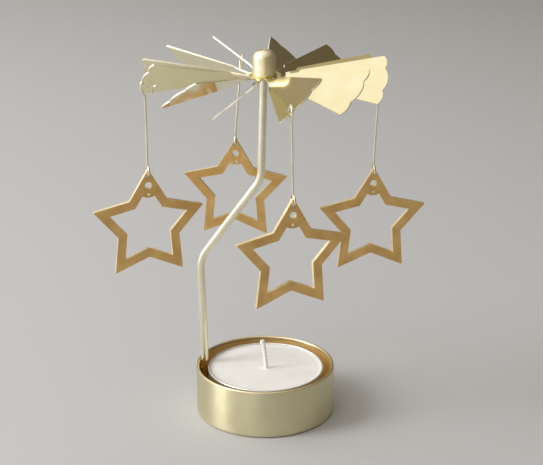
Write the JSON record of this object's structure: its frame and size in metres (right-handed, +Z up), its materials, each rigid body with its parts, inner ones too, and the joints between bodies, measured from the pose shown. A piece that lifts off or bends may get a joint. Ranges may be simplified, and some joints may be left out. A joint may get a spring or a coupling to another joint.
{
  "type": "rotary tealight candle holder",
  "caption": "Tealight cup with a bent upright rod carrying a bladed heat-driven rotor, from which open star pendants hang on hooked wires.",
  "frame": {"origin": "centre of the cup's underside, on the surface it stands on", "axes": "+Z up along the rotor's axis, -Y towards the viewer of the picture"},
  "size_m": [0.105, 0.0805, 0.121],
  "materials": {
    "cup_brass": "polished pale gold",
    "rod_brass": "polished pale gold",
    "weld": "dull brazing metal",
    "rotor_brass": "mirror-rolled sheet",
    "hub_brass": "polished",
    "bearing_steel": "turned",
    "wire_brass": "drawn wire",
    "star_brass": "satin gold",
    "tealight_aluminium": "bright drawn foil",
    "wax": "smooth white paraffin",
    "wick": "waxed cotton braid",
    "wick_steel": "tinned sheet"
  },
  "bodies": {
    "stand": {"cup": "cup_brass", "support_rod": "rod_brass", "rod_weld": "weld"},
    "tealight": {"tealight_cup": "tealight_aluminium", "wax": "wax", "wick": "wick", "wick_tab": "wick_steel"},
    "rotor": {"rotor_sheet": "rotor_brass", "hub_eyelet": "hub_brass", "hub_cap": "hub_brass", "pivot_cup": "bearing_steel"},
    "hanger_1": {"hanger_1": "wire_brass"},
    "hanger_2": {"hanger_2": "wire_brass"},
    "hanger_3": {"hanger_3": "wire_brass"},
    "hanger_4": {"hanger_4": "wire_brass"},
    "star_1": {"star_1": "star_brass"},
    "star_2": {"star_2": "star_brass"},
    "star_3": {"star_3": "star_brass"},
    "star_4": {"star_4": "star_brass"}
  },
  "joints": [
    {"name": "rotor_spin", "type": "hinge", "parent": "stand", "child": "rotor", "pos_m": [0, 0, 0.1193], "axis": [0, 0, 1], "continuous": true},
    {"name": "tealight_lift", "type": "slide", "parent": "stand", "child": "tealight", "axis": [0, 0, 1], "range_m": [0, 0.03]},
    {"name": "hanger_1_swing", "type": "hinge", "parent": "rotor", "child": "hanger_1", "pos_m": [0.0352, 0.00753, 0.1077], "axis": [0.2091, -0.9779, 0], "range_deg": [-5, 35]},
    {"name": "hanger_2_swing", "type": "hinge", "parent": "rotor", "child": "hanger_2", "pos_m": [-0.00765, 0.03546, 0.10975], "axis": [0.9775, 0.211, 0], "range_deg": [-5, 35]},
    {"name": "hanger_3_swing", "type": "hinge", "parent": "rotor", "child": "hanger_3", "pos_m": [-0.03558, -0.00774, 0.11181], "axis": [-0.2126, 0.9771, 0], "range_deg": [-5, 35]},
    {"name": "hanger_4_swing", "type": "hinge", "parent": "rotor", "child": "hanger_4", "pos_m": [0.00778, -0.03555, 0.11123], "axis": [-0.9769, -0.2138, 0], "range_deg": [-5, 35]},
    {"name": "star_1_swing", "type": "hinge", "parent": "hanger_1", "child": "star_1", "pos_m": [0.03481, 0.00744, 0.0788], "axis": [0.2079, -0.9781, 0], "range_deg": [-15, 15]},
    {"name": "star_2_swing", "type": "hinge", "parent": "hanger_2", "child": "star_2", "pos_m": [-0.00983, 0.03499, 0.08064], "axis": [-0.0872, -0.9962, 0], "range_deg": [-15, 15]},
    {"name": "star_3_swing", "type": "hinge", "parent": "hanger_3", "child": "star_3", "pos_m": [-0.03602, -0.00783, 0.08321], "axis": [0.309, -0.9511, 0], "range_deg": [-15, 15]},
    {"name": "star_4_swing", "type": "hinge", "parent": "hanger_4", "child": "star_4", "pos_m": [0.0084, -0.03551, 0.08284], "axis": [0.3746, -0.9272, 0], "range_deg": [-15, 15]}
  ]
}
